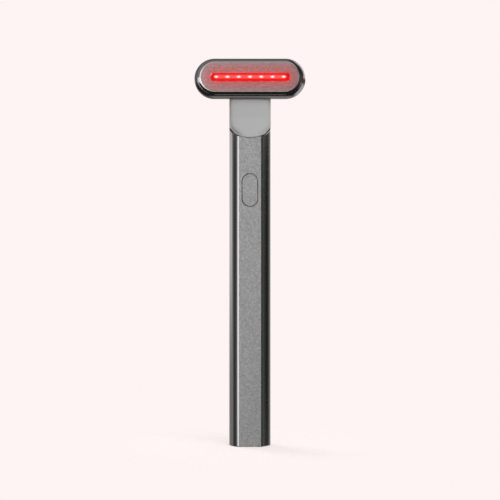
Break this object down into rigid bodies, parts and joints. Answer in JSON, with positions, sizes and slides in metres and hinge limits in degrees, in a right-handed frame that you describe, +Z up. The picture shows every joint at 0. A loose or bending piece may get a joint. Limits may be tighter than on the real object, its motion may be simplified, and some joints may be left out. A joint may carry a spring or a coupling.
{
  "type": "red light therapy wand",
  "caption": "T-shaped handheld skin wand with a slim faceted handle, a slanted swivel neck, and a wide head with a metal plate and a long glowing red light window.",
  "frame": {"origin": "centre of the foot of the handle, at the bottom of the whole wand", "axes": "+Z up along the handle; -Y is the front, where the treatment plate and the button face; +X is to the right of someone who looks at the front"},
  "size_m": [0.044, 0.019, 0.1536],
  "materials": {
    "blasted_gunmetal": "fine blasted gunmetal anodised aluminium",
    "polished_gunmetal": "polished gunmetal anodised aluminium",
    "grained_steel": "fine grained stainless steel with a polished edge",
    "light_grey_paint": "matt light grey paint",
    "red_lens": "translucent red lens, lit from behind",
    "lamp_body": "white lamp body with a clear dome",
    "green_board": "green circuit board with solder mask",
    "amber_film": "amber heater film",
    "bright_steel": "bright nickel-plated steel",
    "brass": "machined brass",
    "black_rubber": "matt rubber",
    "black_plastic": "fine textured moulding",
    "white_nylon": "natural nylon",
    "battery_wrap": "blue shrink wrap",
    "red_wire": "red wire insulation",
    "black_wire": "black wire insulation",
    "grey_foam": "grey foam pad"
  },
  "bodies": {
    "handle": {"handle_tube": "blasted_gunmetal", "end_cap": "black_plastic", "usb_c_socket": "bright_steel", "charge_board": "green_board", "battery_cell": "battery_wrap", "battery_pad": "grey_foam", "battery_lead_minus": "black_wire", "battery_lead_plus": "red_wire", "chassis": "black_plastic", "main_board": "green_board", "board_screw_lower": "bright_steel", "board_screw_upper": "bright_steel", "harness_connector": "white_nylon", "switch_body": "black_plastic", "swivel_socket": "white_nylon", "swivel_washer": "black_plastic", "wave_washer": "bright_steel", "lower_harness": "black_wire"},
    "head": {"neck": "light_grey_paint", "neck_screw_left": "bright_steel", "neck_screw_right": "bright_steel", "pivot_post": "bright_steel", "retaining_ring": "bright_steel", "head_housing": "polished_gunmetal", "treatment_plate": "grained_steel", "light_window": "red_lens", "led_board": "green_board", "red_led_1": "lamp_body", "red_led_2": "lamp_body", "red_led_3": "lamp_body", "red_led_4": "lamp_body", "red_led_5": "lamp_body", "red_led_6": "lamp_body", "red_led_7": "lamp_body", "heater_film_upper": "amber_film", "heater_film_lower": "amber_film", "plate_contact_pin": "brass", "motor_can": "bright_steel", "motor_sleeve": "black_rubber", "upper_harness": "black_wire"},
    "rotor": {"motor_shaft": "bright_steel", "eccentric_weight": "brass"},
    "button": {"front_button": "blasted_gunmetal"},
    "plunger": {"switch_plunger": "white_nylon"}
  },
  "joints": [
    {"name": "head_swivel", "type": "hinge", "parent": "handle", "child": "head", "pos_m": [0, 0, 0.1271], "axis": [0, -0.5, 0.866], "range_deg": [0, 180]},
    {"name": "motor_spin", "type": "hinge", "parent": "head", "child": "rotor", "pos_m": [-0.005, 0.0036, 0.1456], "axis": [1, 0, 0], "continuous": true},
    {"name": "button_press", "type": "slide", "parent": "handle", "child": "button", "axis": [0, 1, 0], "range_m": [0, 0.00025], "stiffness_N_per_m": 2000, "springref_m": -0.0005},
    {"name": "plunger_press", "type": "slide", "parent": "handle", "child": "plunger", "axis": [0, 1, 0], "range_m": [0, 0.00025]}
  ],
  "couplings": [
    {"joint": "plunger_press", "follows": "button_press", "ratio": 1}
  ]
}
